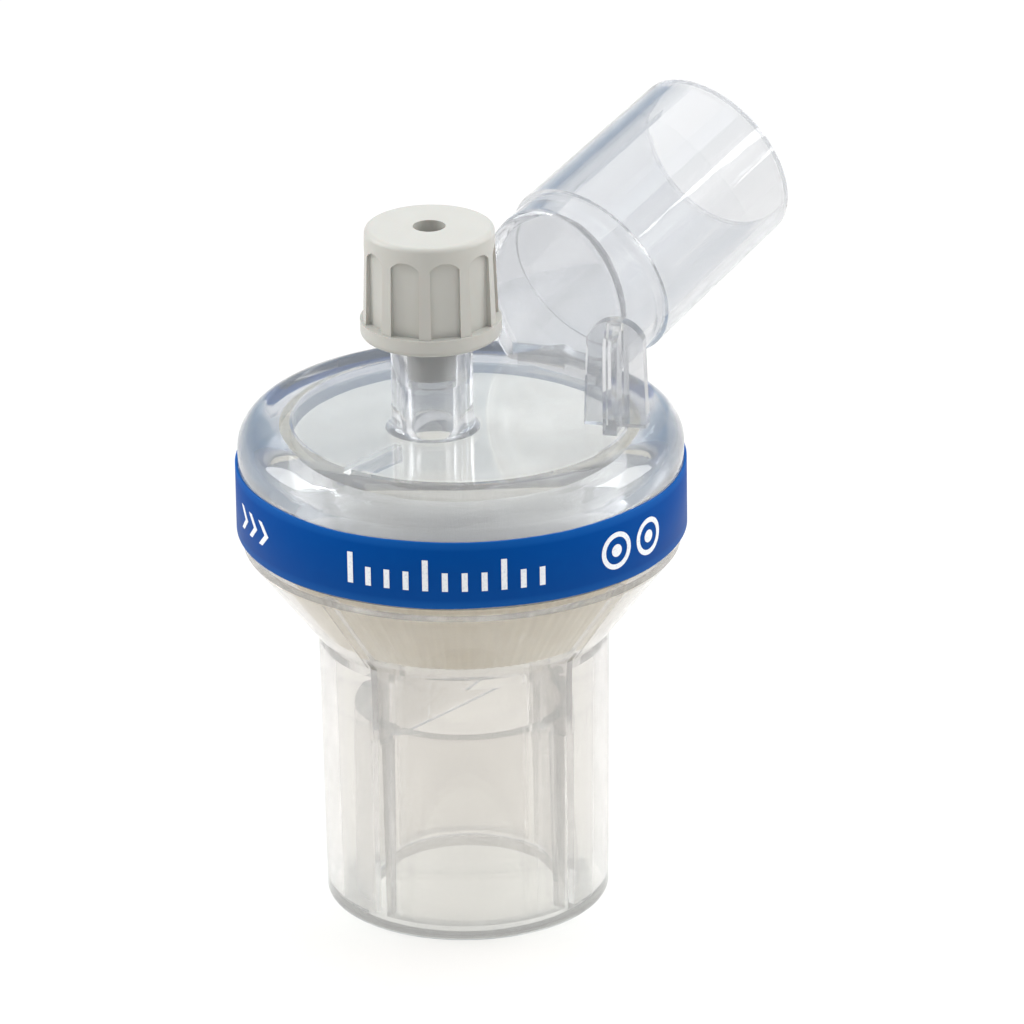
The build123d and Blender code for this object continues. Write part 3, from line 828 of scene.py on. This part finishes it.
world = bpy.data.worlds.new("studio")
bpy.context.scene.world = world
world.use_nodes = True
tree = world.node_tree
tree.nodes.clear()
out = tree.nodes.new("ShaderNodeOutputWorld")
place = node(tree, "ShaderNodeTexCoord")
part = node(tree, "ShaderNodeSeparateXYZ", {"Vector": place.outputs["Generated"]})
height = node(tree, "ShaderNodeMapRange", {"Value": part.outputs["Z"], "From Min": -1.0,
              "From Max": 1.0})


def zones(stops):
    """Colours by height, from -1 straight down over 0 at the horizon to 1 straight up."""
    ramp = node(tree, "ShaderNodeValToRGB", {"Fac": height.outputs["Result"]})
    set_stops(ramp, *(((z + 1) / 2, linear(colour)) for z, colour in stops))
    return ramp.outputs["Color"]


behind = towards(CAMERA_AZIMUTH + 180, 0)
ahead = node(tree, "ShaderNodeVectorMath", {0: place.outputs["Generated"], 1: tuple(behind)},
             operation="DOT_PRODUCT")
turned_away = node(tree, "ShaderNodeMapRange", {"Value": ahead.outputs["Value"], "From Min": 0.0,
                   "From Max": TURN_TO_FAR})
mirrored = node(tree, "ShaderNodeMix", {0: turned_away.outputs["Result"], 6: zones(NEAR_SIDE),
                7: zones(FAR_SIDE)}, data_type="RGBA")
path = node(tree, "ShaderNodeLightPath")
seen = node(tree, "ShaderNodeMix", {0: path.outputs["Is Camera Ray"], 6: mirrored.outputs[2],
            7: (1, 1, 1, 1)}, data_type="RGBA")
rise = node(tree, "ShaderNodeMath", {0: part.outputs["Z"], 1: 0.0}, operation="MAXIMUM")
dome = node(tree, "ShaderNodeMath", {0: rise.outputs[0], 1: 2.0}, operation="POWER")
strength = node(tree, "ShaderNodeMapRange", {"Value": dome.outputs[0], "To Min": DOME_SIDE,
                "To Max": DOME_TOP})
even = node(tree, "ShaderNodeBackground", {"Color": linear("#F6F7F9"),
            "Strength": strength.outputs["Result"]})
room = node(tree, "ShaderNodeBackground", {"Color": seen.outputs[2], "Strength": 1.0})
mix = node(tree, "ShaderNodeMixShader", {0: background_share(tree), 1: even.outputs[0],
           2: room.outputs[0]})
tree.links.new(mix.outputs[0], out.inputs["Surface"])

# %% [markdown]
# ## Lamps
# Lamps only shape what the dome lights. A wide soft box overhead, a little beyond the filter, gives it
# a shadow to stand on. Two weak boxes at the sides make the cap's flanks lighter than its front, as in
# the photograph. The small crisp highlights on the shoulder and on the lower rim come from a small
# weak lamp on the left.

# %% Lamps
LAMP_AIM = Vector((0, 0, AIM_HEIGHT))


def soft_box(name, azimuth, elevation, distance, size, watts):
    """An area lamp that looks at the filter from distance metres; size is its width and height."""
    data = bpy.data.lights.new(name, "AREA")
    data.shape = "RECTANGLE"
    data.size, data.size_y = size
    data.energy = watts
    lamp = bpy.data.objects.new(name, data)
    bpy.context.collection.objects.link(lamp)
    way = towards(azimuth, elevation)
    lamp.matrix_world = (Matrix.Translation(LAMP_AIM + way * distance)
                         @ way.to_track_quat("Z", "Y").to_matrix().to_4x4())


soft_box("top", CAMERA_AZIMUTH + 150, 70, 1.0, (1.0, 1.0), 4.0)
soft_box("left", CAMERA_AZIMUTH - 105, 25, 1.0, (0.5, 0.5), 4.6)
soft_box("right", CAMERA_AZIMUTH + 100, 25, 1.0, (0.5, 0.5), 4.6)
soft_box("window", CAMERA_AZIMUTH - 92, 40, 0.8, (0.05, 0.1), 0.6)

# %% [markdown]
# ## Sizes and finish
# The frame's box and the finished model's box go to a file, so that anyone can see that the new pieces
# stay where the frame says.

# %% Sizes and finish
bpy.context.scene.view_settings.view_transform = "Standard"
json.dump({"cad": [list(v) for v in cad_box], "visual": [list(v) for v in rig.bounds()]},
          open("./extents.json", "w"))
print(json.load(open("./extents.json")))
